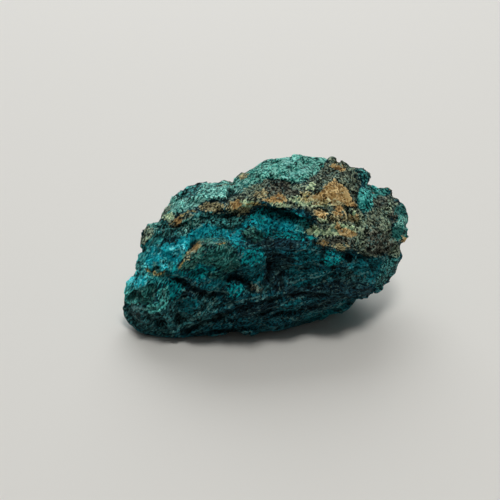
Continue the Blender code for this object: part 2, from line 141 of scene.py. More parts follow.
# Outlines of each finish on the side that faces the camera, in pixels across and down the view.
# Where they overlap, the finish that FINISHES lists later lies on top.
PATCHES = {
    "slate": [
        [(125, 300), (132, 298), (138, 303), (146, 306), (156, 304), (162, 297), (168, 293),
         (178, 298), (190, 296), (206, 293), (215, 296), (220, 303), (216, 311),
         (204, 319), (188, 328), (170, 334), (150, 333), (134, 326), (126, 316)],
        [(180, 262), (190, 257), (200, 259), (200, 265), (190, 268), (182, 269)],
        [(246, 286), (256, 284), (266, 285), (270, 289), (262, 292), (250, 293), (244, 293)],
        [(352, 262), (370, 258), (388, 258), (396, 258), (394, 272), (384, 285), (374, 282),
         (354, 279), (340, 278), (344, 270)],
    ],
    # A dark navy laid in recesses, undercuts and under the brow, partly the stone's own colour and
    # partly painted shade.
    "navy": [
        [(262, 252), (270, 250), (280, 254), (292, 260), (290, 266), (282, 268), (280, 278),
         (284, 288), (276, 292), (268, 288), (264, 276), (264, 262)],
        [(250, 207), (262, 206), (274, 209), (288, 212), (300, 217), (308, 221), (304, 223),
         (296, 220), (284, 216), (272, 213), (258, 213), (248, 212)],
        [(282, 288), (300, 286), (322, 285), (336, 280), (350, 280), (366, 284), (374, 290),
         (362, 299), (340, 298), (318, 297), (300, 297), (284, 298)],
        [(356, 262), (366, 258), (380, 258), (384, 264), (372, 268), (360, 268)],
        [(166, 300), (172, 294), (184, 292), (198, 290), (210, 292), (208, 298), (196, 298),
         (184, 302), (174, 306)],
        [(300, 306), (316, 305), (330, 300), (338, 302), (326, 308), (310, 311)],
        [(232, 308), (246, 304), (262, 304), (274, 302), (276, 310), (262, 316), (244, 318)],
        [(262, 239), (282, 239), (302, 241), (298, 247), (278, 248), (264, 247)],
    ],
    "teal": [
        [(190, 270), (204, 268), (220, 273), (230, 276), (226, 286), (212, 292), (198, 286)],
        [(240, 248), (247, 245), (254, 244), (262, 246), (266, 252), (266, 262), (263, 270),
         (262, 280), (256, 284), (248, 278), (243, 272), (240, 262)],
        [(294, 252), (304, 251), (314, 252), (321, 253), (321, 260), (316, 266), (306, 266),
         (297, 262)],
        [(288, 269), (296, 266), (310, 267), (322, 270), (334, 272), (330, 279), (312, 283),
         (298, 286), (291, 283), (288, 276)],
        [(345, 262), (356, 256), (372, 256), (388, 256), (394, 250), (398, 252), (397, 264),
         (388, 278), (374, 282), (356, 276)],
        [(280, 310), (286, 303), (294, 299), (301, 298), (305, 300), (300, 304), (290, 308)],
        [(303, 314), (310, 311), (320, 311), (336, 305), (350, 300), (342, 310), (324, 318),
         (308, 320)],
        [(176, 304), (184, 300), (192, 297), (199, 300), (199, 308), (190, 312), (178, 311)],
        [(300, 244), (316, 243), (322, 249), (306, 250)],
    ],
    "azure": [
        [(120, 296), (120, 284), (126, 273), (132, 262), (139, 250), (148, 249), (156, 246),
         (166, 244), (176, 241), (184, 238), (190, 231), (197, 225), (206, 221), (214, 222),
         (218, 226), (228, 228), (236, 226), (244, 221), (251, 214), (260, 209), (272, 208),
         (284, 211), (296, 214), (304, 219), (311, 226), (305, 231), (308, 236), (316, 239),
         (306, 239), (284, 237), (270, 236), (259, 236), (257, 229), (248, 227), (243, 232),
         (246, 239), (247, 247), (238, 248), (230, 243), (220, 240), (210, 242), (203, 243),
         (196, 243), (190, 246), (186, 252), (181, 259), (176, 266), (168, 274), (156, 277),
         (146, 281), (136, 286)],
        [(158, 286), (168, 281), (178, 282), (183, 286), (184, 292), (178, 299), (168, 301),
         (160, 298)],
        [(200, 247), (208, 245), (212, 248), (206, 251), (199, 252)],
        [(228, 285), (234, 281), (240, 284), (242, 290), (237, 297), (230, 298), (226, 292)],
        [(164, 273), (175, 268), (185, 269), (180, 277), (168, 280)],
        [(188, 268), (198, 264), (211, 264), (216, 270), (212, 276), (202, 279), (189, 277)],
        [(326, 253), (334, 251), (340, 253), (343, 257), (342, 262), (334, 265), (326, 265),
         (323, 260)],
        [(242, 250), (250, 247), (258, 248), (263, 254), (261, 262), (252, 266), (244, 262)],
    ],
    "cyan": [
        [(144, 258), (150, 251), (158, 247), (168, 243), (177, 240), (184, 237), (189, 231),
         (196, 226), (205, 222), (213, 225), (215, 230), (207, 234), (199, 238), (193, 242),
         (188, 246), (184, 253), (177, 261), (168, 267), (158, 269), (148, 267), (142, 266)],
        [(214, 233), (222, 229), (230, 232), (240, 232), (244, 238), (244, 243), (236, 241),
         (226, 238), (216, 238)],
        [(240, 225), (247, 221), (256, 219), (256, 224), (246, 228)],
        # The next two are painted light: brighter blue in the hollow under the brow, where it falls in
        # shade.
        [(266, 217), (280, 217), (292, 221), (300, 226), (296, 232), (282, 232), (270, 226)],
        [(259, 227), (265, 225), (271, 226), (274, 229), (268, 232), (261, 232)],
        [(330, 253), (336, 252), (339, 255), (333, 257)],
    ],
    "aqua": [
        [(116, 300), (118, 283), (125, 270), (131, 258), (137, 248), (146, 240), (156, 236),
         (164, 237), (160, 244), (151, 251), (145, 258), (143, 264), (149, 267), (147, 274),
         (156, 277), (166, 274), (163, 282), (150, 286), (140, 290), (131, 295), (124, 300)],
        [(154, 264), (164, 259), (173, 261), (171, 270), (158, 271)],
        # Painted light: brighter blue in the shade under the brow's right end.
        [(297, 221), (305, 223), (310, 228), (305, 233), (296, 230)],
    ],
    # Painted light: a brighter blue laid where the stone's own shading is too deep.
    "sky": [
        [(149, 246), (158, 245), (161, 251), (152, 256)],
        [(171, 247), (181, 245), (184, 251), (175, 256)],
        [(157, 263), (166, 262), (168, 269), (158, 271)],
        [(130, 278), (146, 276), (148, 284), (134, 289)],
    ],
    "speckled": [
        [(134, 262), (141, 261), (143, 270), (135, 271)],
        [(146, 236), (148, 226), (158, 221), (166, 220), (172, 226), (180, 224), (188, 218),
         (198, 212), (208, 213), (220, 214), (232, 212), (244, 213), (246, 220), (238, 226),
         (228, 228), (216, 225), (204, 222), (197, 226), (191, 231), (184, 235), (174, 236),
         (164, 237), (154, 237), (147, 242), (141, 250), (138, 252), (141, 243)],
        [(171, 197), (175, 184), (186, 178), (202, 177), (206, 188), (200, 193), (193, 199),
         (184, 199)],
        [(228, 190), (230, 182), (240, 180), (250, 179), (260, 179), (262, 184), (252, 187),
         (246, 192), (238, 198), (230, 201)],
        [(388, 256), (396, 246), (399, 250), (397, 266), (390, 278), (380, 288), (376, 284)],
        [(350, 168), (358, 160), (370, 163), (378, 171), (377, 178), (366, 181), (356, 176)],
    ],
    "jade": [
        [(258, 158), (267, 153), (279, 150), (290, 149), (305, 150), (316, 153), (324, 156),
         (327, 161), (325, 166), (321, 171), (314, 177), (306, 181),
         (299, 182), (290, 183), (284, 182), (276, 180), (268, 179), (260, 181), (252, 184),
         (246, 186), (238, 188), (230, 190), (230, 180), (238, 174), (246, 169), (253, 164)],
    ],
    "lagoon": [
        [(120, 292), (130, 291), (138, 294), (142, 300), (136, 303), (120, 304)],
        [(147, 302), (155, 304), (160, 297), (161, 288), (167, 287), (168, 300), (163, 309),
         (152, 313), (146, 309)],
        [(359, 190), (364, 188), (370, 190), (373, 196), (372, 204), (370, 212), (364, 214),
         (358, 210), (355, 204), (356, 196)],
        [(366, 184), (372, 180), (380, 183), (390, 187), (388, 192), (382, 197), (376, 199),
         (371, 193)],
    ],
    "turquoise": [
        [(165, 219), (157, 217), (162, 205), (170, 198), (180, 199), (188, 199), (194, 198),
         (200, 192), (203, 184), (212, 177), (224, 176), (231, 182), (227, 191), (226, 198),
         (220, 200), (211, 199), (204, 201), (197, 205), (190, 208), (184, 210), (177, 214),
         (171, 218)],
        [(146, 228), (150, 219), (157, 218), (160, 226), (155, 230)],
        [(395, 216), (404, 214), (414, 216), (414, 230), (402, 230), (394, 227)],
        # Painted light: brighter turquoise in the shade under the left of the brow.
        [(180, 222), (190, 219), (200, 219), (202, 226), (194, 230), (184, 231)],
        [(236, 192), (238, 184), (246, 182), (252, 185), (246, 190), (240, 194)],
    ],
    # Painted highlights, mostly on the jade dome.
    "bright": [
        [(284, 178), (292, 173), (300, 170), (308, 166), (309, 169), (302, 173), (298, 177),
         (288, 181)],
        [(166, 217), (168, 211), (174, 206), (180, 203), (188, 200), (184, 206), (174, 213)],
        [(284, 160), (294, 158), (300, 161), (292, 165), (284, 164)],
    ],
    "crust": [
        [(258, 187), (264, 181), (274, 180), (284, 182), (292, 185), (302, 184), (308, 181),
         (316, 177), (322, 170), (327, 164), (329, 155), (340, 156), (350, 163), (358, 174),
         (360, 184), (356, 192), (356, 203), (358, 210), (364, 215), (371, 211), (375, 198),
         (382, 196), (389, 195), (395, 199), (400, 203), (397, 209), (393, 216), (393, 226),
         (391, 234), (397, 240), (394, 246), (386, 253), (378, 257), (366, 255), (356, 252),
         (350, 249), (340, 249), (330, 247), (322, 244), (318, 240), (322, 238),
         (310, 232), (312, 226), (320, 223), (316, 217), (308, 211), (298, 208), (288, 207),
         (276, 204), (264, 200), (256, 203), (250, 208), (247, 214), (237, 216), (226, 213), (226, 204),
         (232, 198), (240, 194), (250, 188)],
        [(137, 244), (141, 237), (145, 230), (150, 226), (152, 231), (149, 238), (144, 245)],
        [(159, 218), (163, 211), (168, 206), (171, 208), (166, 214), (163, 220)],
        [(180, 216), (188, 214), (192, 216), (186, 220)],
    ],
    # A paler crust, partly painted light on steep faces that fall in shade.
    "lichen": [
        [(388, 246), (398, 243), (401, 250), (397, 257), (388, 254)],
        [(388, 198), (398, 200), (400, 206), (390, 207)],
        [(143, 238), (146, 231), (152, 230), (149, 238)],
        [(353, 214), (362, 216), (367, 221), (366, 227), (360, 231), (353, 230)],
        [(237, 207), (247, 206), (248, 213), (238, 215)],
        [(353, 232), (363, 232), (363, 246), (353, 247)],
        [(382, 206), (390, 204), (392, 216), (391, 229), (384, 230), (381, 218)],
        [(290, 185), (300, 183), (303, 189), (296, 193), (289, 190)],
        [(244, 188), (254, 185), (262, 188), (256, 194), (246, 195)],
    ],
    "umber": [
        [(264, 187), (270, 183), (280, 183), (289, 186), (291, 191), (297, 196), (286, 195),
         (274, 194), (266, 197)],
        [(249, 285), (257, 284), (262, 289), (255, 293)],
        [(367, 234), (376, 231), (386, 236), (393, 244), (388, 253), (376, 255), (368, 252)],
        [(376, 206), (378, 199), (384, 196), (389, 197), (387, 202), (381, 206)],
        [(392, 214), (395, 206), (399, 204), (398, 212), (396, 222), (392, 224)],
        [(326, 239), (338, 238), (352, 240), (352, 248), (340, 249), (328, 246)],
        [(308, 190), (294, 190), (292, 196), (304, 198), (312, 194)],
        [(312, 220), (318, 221), (326, 221), (328, 224), (318, 224)],
    ],
    "olive": [
        [(204, 250), (216, 247), (228, 246), (236, 250), (240, 258), (240, 266), (232, 272),
         (222, 272), (214, 266), (204, 264), (196, 262), (197, 255)],
        [(132, 298), (138, 291), (146, 287), (152, 284), (156, 283), (158, 286), (157, 291),
         (155, 297), (152, 303), (146, 304), (138, 301)],
        [(206, 274), (216, 272), (224, 274), (221, 279), (210, 279)],
        [(179, 269), (181, 261), (186, 256), (191, 254), (193, 258), (188, 264), (184, 270)],
        [(151, 268), (154, 262), (159, 262), (160, 270), (155, 271)],
        [(203, 243), (208, 239), (215, 240), (210, 245)],
        [(396, 206), (404, 199), (412, 206), (413, 214), (403, 216), (395, 214)],
        [(391, 229), (400, 229), (413, 230), (411, 238), (400, 240), (391, 237)],
        [(254, 230), (262, 232), (264, 238), (256, 240), (252, 237)],
    ],
    "moss": [
        [(182, 268), (182, 259), (187, 251), (193, 243), (205, 238), (214, 240), (211, 246),
         (204, 250), (200, 258), (196, 265), (189, 270)],
        [(147, 269), (152, 270), (160, 270), (167, 272), (162, 277), (152, 275)],
        [(241, 232), (247, 228), (254, 228), (257, 231), (253, 235), (245, 236)],
        [(210, 242), (220, 240), (229, 242), (228, 246), (216, 248)],
    ],
    "pale": [
        [(293, 199), (304, 199), (316, 201), (330, 206), (322, 208), (308, 206), (297, 205)],
        [(290, 200), (298, 196), (307, 198), (316, 202), (326, 203), (332, 206), (322, 208),
         (308, 207), (297, 206)],
        [(304, 231), (310, 227), (316, 226), (321, 230), (329, 230), (332, 226), (338, 222),
         (346, 224), (354, 228), (355, 235), (346, 237), (334, 236), (320, 236), (308, 234)],
        [(236, 204), (245, 200), (254, 202), (253, 207), (244, 209), (237, 208)],
        [(266, 201), (274, 201), (282, 203), (289, 205), (288, 208), (278, 207), (270, 204)],
        [(305, 188), (310, 182), (315, 184), (312, 190)],
        [(318, 218), (326, 218), (328, 222), (321, 223)],
        [(164, 214), (172, 212), (176, 219), (170, 222), (164, 220)],
        [(352, 208), (356, 212), (357, 222), (353, 222)],
    ],
    "tan": [
        [(329, 185), (335, 179), (341, 185), (347, 190), (351, 197), (355, 205), (348, 207),
         (344, 204), (336, 205), (328, 204), (318, 204), (305, 200), (311, 195), (319, 192),
         (323, 189)],
        [(337, 221), (343, 227), (349, 230), (356, 235), (348, 238), (340, 236), (337, 230)],
        [(315, 212), (322, 210), (327, 213), (324, 218), (316, 217)],
        [(332, 213), (338, 211), (346, 213), (342, 217), (334, 218)],
        [(262, 200), (270, 197), (280, 197), (287, 200), (281, 204), (270, 203)],
        [(331, 168), (336, 164), (343, 165), (347, 169), (340, 171)],
        [(399, 240), (404, 237), (409, 240), (402, 244)],
        [(347, 215), (357, 214), (359, 220), (350, 222)],
    ],
    "rust": [
        [(197, 208), (202, 204), (209, 203.5), (216, 203.5), (222, 204), (220, 207), (213, 209),
         (206, 211), (200, 210)],
        [(224, 206), (231, 203), (238, 202), (244, 205), (242, 208), (234, 210), (228, 209)],
        [(170, 222), (174, 219), (180, 217), (181, 222), (177, 227), (173, 226)],
        [(186, 259), (189, 251), (192, 246), (197, 243.5), (203, 242.5), (200, 246), (195, 249),
         (191, 254), (189, 260)],
        [(255, 193), (262, 190), (268, 193), (268, 197), (262, 198), (256, 197)],
        [(326, 216), (336, 215), (348, 215), (357, 217), (356, 222), (344, 221), (332, 221)],
        [(332, 200), (342, 200), (344, 205), (334, 206)],
        [(236, 208), (248, 206), (250, 212), (240, 214)],
        [(212, 208), (222, 207), (223, 212), (214, 213)],
        [(334, 206), (344, 205), (346, 210), (338, 213), (332, 210)],
        [(332, 246), (340, 244), (348, 246), (342, 250)],
        [(240, 178), (246, 173), (250, 176), (244, 180)],
    ],
    # Painted light: a paler tan on the brow's lip, which faces down and falls in shade.
    "sand": [
        [(310, 199), (320, 199), (330, 200), (331, 204), (322, 206), (312, 204)],
        [(300, 192), (308, 191), (312, 195), (306, 198)],
        [(297, 198), (306, 197), (312, 201), (304, 204)],
    ],
    "orange": [
        [(272, 197), (279, 194), (286, 197), (284, 203), (275, 202)],
        [(231, 203), (237, 200), (243, 205), (238, 210), (232, 208)],
        [(344, 194), (350, 197), (356, 207), (349, 207)],
        [(334, 205), (341, 205), (343, 211), (336, 213)],
        [(320, 241), (325, 239), (329, 243), (323, 247)],
        [(331, 168), (338, 163), (345, 167), (338, 171)],
        [(175, 219), (180, 215), (183, 221), (177, 227)],
        [(190, 249), (195, 243), (200, 244), (195, 250)],
    ],
}
SOFT_EDGE, STROKE_EDGE = 3.4, 1.5  # pixels on each side of an edge over which it fades
EDGE_WANDER = ((11.0, 2.0), (3.6, 1.2))  # pixels from crest to crest and pixels of wander
WANDER_SEED = 3
PIXEL = 0.263 * MM  # what a pixel spans at the stone
TURNED_AWAY = (-0.4, -0.1)  # the patches fade out over faces turned this far from the camera

# Strokes along the beds and breaks, with the width of each in pixels: the shade in undercuts,
# cracks and pits, places that swell or sink a little, calm places with little relief, thin
# ochre seams, and the pale grit that stands on the edges of the beds.
STROKES = {
    "shade": [
        (3, (248, 206), (262, 206), (275, 210), (290, 214), (302, 219)),
        (4, (228, 281), (234, 276), (242, 280), (250, 286)),
        (2.4, (176, 278), (184, 283), (192, 288), (200, 292)),
        (4, (268, 256), (269, 268), (270, 278)),
        (2.4, (270, 278), (274, 288)),
        (5, (279, 277), (283, 284), (281, 289)),
        (3, (256, 233), (263, 236)),
        (4, (182, 334), (200, 325), (222, 315), (240, 308), (250, 304), (258, 303)),
        (4, (258, 303), (272, 299), (284, 296), (300, 294), (320, 295), (340, 296), (358, 300)),
        (4.5, (347, 255), (348, 260)),
        (2.4, (243, 238), (256, 241), (272, 242)),
        (2, (262, 250), (280, 250), (294, 250)),
        (2.4, (321, 252), (322, 263)),
        (2.5, (203, 213), (211, 216)),
        (2.5, (211, 202), (221, 201), (228, 199)),
        (3, (228, 188), (231, 194), (227, 201)),
        (5, (206, 334), (226, 331), (248, 335)),
        (2, (208, 295), (226, 294)),
        (3, (170, 299), (180, 300), (186, 296)),
        (2, (312, 220), (320, 223), (332, 221)),
        (3, (268, 255), (280, 256), (290, 260), (300, 262)),
        (2, (128, 300), (134, 292), (142, 287), (152, 284)),
        (2, (146, 269), (151, 270), (158, 267)),
        (2, (170, 226), (178, 227), (190, 221)),
        (2, (188, 250), (190, 246), (195, 243)),
        (3, (222, 226), (231, 228), (240, 226)),
        (5, (244, 238), (252, 240), (262, 240)),
        (2.4, (254, 245), (262, 244), (270, 243)),
        (2.4, (182, 286), (194, 289), (206, 292)),
        (2.4, (222, 300), (232, 300), (240, 297)),
        (3, (218, 306), (226, 305), (234, 302)),
        (2, (366, 183), (374, 192), (384, 195)),
        (2, (306, 306), (318, 308), (324, 306)),
        (2, (204, 257), (214, 255), (224, 252)),
        (3, (230, 298), (234, 304)),
    ],
    "swollen": [
        (7, (127, 282), (131, 272), (137, 262)),
        (6, (149, 226), (153, 221)),
        (5, (174, 198), (179, 193)),
        (5, (235, 179), (242, 175)),
        (4, (373, 176), (373, 180)),
        (4, (329, 160), (337, 161)),
        (5, (276, 329), (290, 327)),
        (6, (374, 295), (381, 289)),
        (5, (126, 307), (127, 317), (133, 328)),
        (6, (322, 318), (339, 313)),
        (5, (235, 334), (245, 334)),
    ],
    "sunk": [
        (6, (142, 249), (140, 241), (144, 233)),
        (7, (157, 220), (163, 213), (170, 205)),
        (7, (211, 184), (220, 184), (230, 183)),
        (7, (340, 162), (348, 166)),
        (7, (381, 188), (390, 194), (398, 202)),
        (5, (408, 225), (408, 234)),
        (6, (350, 303), (358, 301)),
        (6, (211, 333), (222, 333)),
    ],
    "calm": [
        (16, (399, 250), (396, 264), (388, 279), (377, 292), (362, 297)),
        (10, (356, 300), (346, 307), (330, 313), (312, 320), (292, 327)),
        (12, (402, 200), (408, 214), (409, 230)),
        (10, (123, 300), (122, 312), (130, 324)),
    ],
    "ochre": [
        (1.8, (146, 269), (149, 271), (153, 271), (157, 274), (164, 272)),
        (1.2, (217, 243), (225, 243)),
        (1.8, (187, 258), (183, 262), (179, 268)),
        (2.0, (171, 222), (180, 217), (188, 212), (198, 209), (208, 205), (222, 204)),
        (1.8, (246, 205), (256, 204), (266, 206)),
        (1.6, (318, 242), (329, 245)),
        (1.8, (226, 208), (236, 210), (246, 208)),
    ],
    "grit": [
        (1.6, (256, 300), (266, 298), (276, 295)),
        (1.6, (190, 322), (204, 321), (216, 318), (226, 315)),
        (1.4, (186, 327), (200, 326), (210, 324)),
        (1.4, (196, 332), (206, 331)),
        (1.6, (290, 283), (306, 279), (322, 276), (334, 270)),
        (1.4, (298, 275), (312, 275), (326, 271)),
        (1.6, (294, 251), (306, 250), (320, 251)),
        (1.4, (284, 267), (296, 266)),
        (1.4, (230, 326), (242, 331), (252, 333)),
        (1.6, (282, 318), (292, 319), (300, 321)),
        (1.4, (318, 306), (322, 303), (329, 301)),
        (1.4, (280, 307), (288, 301), (298, 298), (304, 299)),
        (1.3, (306, 309), (318, 312), (332, 308), (344, 304)),
        (1.3, (282, 267), (294, 266), (306, 268)),
        (1.6, (203, 244), (213, 242), (226, 241)),
        (1.6, (166, 218), (172, 222)),
        (1.4, (184, 260), (190, 254), (195, 250)),
        (1.6, (182, 291), (192, 292), (198, 293)),
        (1.4, (340, 280), (356, 276), (368, 272)),
        (1.4, (346, 288), (360, 285)),
        (2.0, (136, 307), (144, 309), (152, 309), (159, 306), (163, 300), (164, 292)),
        (1.8, (131, 303), (134, 309), (142, 314), (152, 316)),
        (1.6, (166, 276), (176, 275), (184, 279)),
        (1.6, (208, 293), (222, 291), (230, 294)),
        (1.6, (226, 305), (240, 301), (256, 297), (268, 294)),
    ],
}


BARE = ("slate", "navy", "teal")  # finishes that show the broken stone, with no skin on it
DRIFT_SIZE, FLECK_SIZE = 15, 7  # millimetres from one drift or fleck of the back to the next
FLECK_PLACE = Vector((4, 9, 2))
CRUST_LINE, CRUST_FADE = 19.8, 9  # millimetres: the crust's mean lower edge, and its fade
CRUST_DRIFT = 2.2  # how many fades the drifts carry that edge up or down


def patch_weights(mesh):
    """For each finish, how much of it every point of the mesh has."""
    points, normals = read(mesh, "co"), read(mesh, "normal")
    places = seen_at(points)
    noise.seed_set(WANDER_SEED)
    for size, wander in EDGE_WANDER:
        aside = [noise.noise_vector(Vector(p) / (size * PIXEL)) for p in points]
        places = places + wander * np.array(aside)[:, :2]
    facing = step(*TURNED_AWAY, normals @ np.array(TO_CAMERA))
    weights = {}
    for finish, outlines in PATCHES.items():
        depth = np.max([depth_inside(places, outline) for outline in outlines], axis=0)
        weights[finish] = step(-SOFT_EDGE, SOFT_EDGE, depth) * facing
    for finish, lines in STROKES.items():
        depth = np.max([depth_inside(places, line, width) for width, *line in lines], axis=0)
        weights[finish] = step(-STROKE_EDGE, STROKE_EDGE, depth) * facing

    # Round the back the same finishes lie in broad drifts: crust above, tan along its edge.
    far = 1 - facing
    drift = np.array([noise.fractal(Vector(p) / (DRIFT_SIZE * MM), 1, 2, 3) for p in points])
    fleck = np.array([
        noise.fractal(Vector(p) / (FLECK_SIZE * MM) + FLECK_PLACE, 1, 2, 3) for p in points])
    crusted = (points[:, 2] / MM - CRUST_LINE) / CRUST_FADE + CRUST_DRIFT * drift
    rim = np.abs(crusted - 0.1)
    blue = -drift - 0.5 * fleck
    back = {
        "crust": step(-0.2, 0.3, crusted),
        "tan": step(0.4, 0.05, rim) * step(0.1, 0.4, fleck) * 0.8,
        "orange": step(0.25, 0.0, rim) * step(0.3, 0.55, fleck) * 0.8,
        "rust": step(0.6, 0.2, rim) * step(0.05, 0.3, -fleck) * 0.7,
        "pale": step(0.35, 0.15, np.abs(crusted + 0.2)) * step(0.2, 0.45, fleck),
        "umber": step(0.1, 0.5, crusted) * step(0.1, 0.4, drift),
        "lichen": step(0.1, 0.5, crusted) * step(0.15, 0.4, fleck) * 0.8,
        "turquoise": step(0.15, 0.5, drift - 0.3 * fleck + 0.1),
        "speckled": step(0.3, 0.1, np.abs(crusted + 0.5)) * 0.8,
        "azure": step(0.25, 0.5, blue),
        "cyan": step(0.4, 0.6, blue),
        "teal": step(0.1, 0.4, fleck),
        "slate": step(0.1, 0.4, -fleck),
        "olive": step(0.35, 0.6, -fleck) * 0.8,
    }
    for finish, amount in back.items():
        weights[finish] += far * amount
    weights["coat"] = np.max([weights[finish] for finish in PATCHES if finish not in BARE], axis=0)
    return weights


def put(mesh, name, values):
    """Gives every point of the mesh a value under this name."""
    layer = mesh.attributes.new(name, "FLOAT", "POINT")
    layer.data.foreach_set("value", values.astype(np.float32))


skin = fine_skin(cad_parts["chrysocolla_stone"])
for finish, weight in patch_weights(skin).items():
    put(skin, finish, np.clip(weight, 0, 1))


class Varying:
    """A socket whose value varies over the stone. Sums and products of it add nodes."""

    tree = None

    def __init__(self, socket):
        self.socket = socket

    @classmethod
    def node(cls, kind, settings=None, inputs=None, take=0):
        """A node of the kind, with its settings made first and then its sockets set or linked."""
        made = cls.tree.nodes.new(kind)
        for name, value in (settings or {}).items():
            if name == "stops":
                while len(made.color_ramp.elements) < len(value):
                    made.color_ramp.elements.new(0.5)
                for element, (place, colour) in zip(made.color_ramp.elements, value):
                    element.position, element.color = place, colour
            else:
                setattr(made, name, value)
        for name, value in (inputs or {}).items():
            if isinstance(value, cls):
                cls.tree.links.new(value.socket, made.inputs[name])
            else:
                made.inputs[name].default_value = value
        return cls(made.outputs[take])

    def other(self, output):
        """Another output of the same node."""
        return Varying(self.socket.node.outputs[output])

    def is_vector(self):
        return self.socket.type in ("VECTOR", "RGBA")

    def math(self, operation, *others, turned=False):
        """A Math node on this value and the others, or a Vector Math node if one is a vector."""
        values = [self, *others]
        if turned:
            values.reverse()
        kind = "ShaderNodeMath"
        if any(isinstance(v, Varying) and v.is_vector() for v in values):
            values = [v if isinstance(v, (Varying, tuple)) else (v, v, v) for v in values]
            kind = "ShaderNodeVectorMath"
        return Varying.node(kind, {"operation": operation}, dict(enumerate(values)))

    def __add__(self, other):
        return self.math("ADD", other)

    __radd__ = __add__

    def __sub__(self, other):
        return self.math("SUBTRACT", other)

    def __rsub__(self, other):
        return self.math("SUBTRACT", other, turned=True)

    def __mul__(self, other):
        return self.math("MULTIPLY", other)

    __rmul__ = __mul__

    def __truediv__(self, other):
        return self.math("DIVIDE", other)

    def __rtruediv__(self, other):
        return self.math("DIVIDE", other, turned=True)

    def __pow__(self, other):
        return self.math("POWER", other)

    def eased(self, low, high, start=0.0, end=1.0):
        """Start below low, end above high, and a smooth rise between."""
        inputs = {"Value": self, "From Min": low, "From Max": high, "To Min": start, "To Max": end}
        return Varying.node("ShaderNodeMapRange", {"interpolation_type": "SMOOTHSTEP"}, inputs)


def cloud(place, size, detail=2.0, roughness=0.5):
    """Soft noise around a half, with one lump to each size in millimetres."""
    inputs = {"Vector": place, "Scale": 1 / size, "Detail": detail, "Roughness": roughness}
    return Varying.node("ShaderNodeTexNoise", None, inputs)


def cells(place, size, take="Distance"):
    """Cells of one size in millimetres: how far off their middles are, or another output."""
    return Varying.node("ShaderNodeTexVoronoi", None, {"Vector": place, "Scale": 1 / size}, take)


def axes(vector):
    """The three parts of a vector."""
    return [Varying.node("ShaderNodeSeparateXYZ", None, {0: vector}, axis) for axis in range(3)]


def most(values):
    """The greatest of the values at each place."""
    greatest = values[0]
    for value in values[1:]:
        greatest = greatest.math("MAXIMUM", value)
    return greatest


BED_WANDER = 9  # millimetres from one rise of a bed to the next
BED_MEAN = 0.35  # about the mean of a worn bed's profile, so that wear keeps the solid's size
ELSEWHERE, PIT_PLACE = (31.0, 7.0, 3.0), (5.0, 5.0, 5.0)  # keep two patterns from agreeing


def bed_height(place, dip, arch, arch_at, wander):
    """The place's height among the arched beds, in millimetres."""
    x, y, z = axes(place)
    return z - dip * y + arch * (x - arch_at) ** 2 + wander * (cloud(place, BED_WANDER, 3) - 0.5)


def worn_bed(height, hollow, lip):
    """A bed's profile: it stands out more and more up to its lip, and then falls back."""
    share = height.math("FRACT")
    return share ** hollow * share.eased(lip, 1.0, 1.0, 0.0) - BED_MEAN


def chips(place, size, tilt):
    """Flat chips, each leaning its own way about its middle."""
    middle = cells(place, size, "Position")
    lean = (middle.other("Color") - 0.5) * tilt
    return Varying.node("ShaderNodeVectorMath", {"operation": "DOT_PRODUCT"},
                        {0: place - middle, 1: lean}, "Value")


SKINS = ("turquoise", "jade", "tan", "pale")  # smooth skins, with lower grains and chips
RELIEF = {  # in millimetres, apart from slopes (dip, arch, leans), powers (hollows) and shares
    "Dip": 0.33, "Arch": 0.011, "Arch at": 13.7, "Wander": 2.6,
    "Bed": 2.6, "Bed depth": 0.65, "Bed hollow": 1.6, "Bed lip": 0.86,
    "Fine bed": 0.95, "Fine depth": 0.15, "Fine hollow": 1.4, "Fine lip": 0.8, "Fine wander": 1.5,
    "Broken every": 8.0, "Flat share": 0.2,
    "Grain": 1.0, "Grain height": 0.08, "Grain wander": 0.8, "Rough": 2.4, "Rough height": 0.13,
    "Chip": 3.4, "Chip lean": 0.19, "Chip wander": 1.2,
    "Small chip": 1.4, "Small lean": 0.11, "Small wander": 0.5,
    "Olive grain": 0.7, "Skin grain": 0.5, "Olive chip": 0.6, "Skin chip": 0.4,
    "Pit": 3.2, "Pit depth": 0.32, "Pit floor": 0.12, "Pit rim": 0.3, "Pitted every": 6.0,
    "Seam depth": 0.45, "Crust lift": 0.22, "Swelling": 0.6, "Calming": 0.6, "Seat fade": 2.5,
}


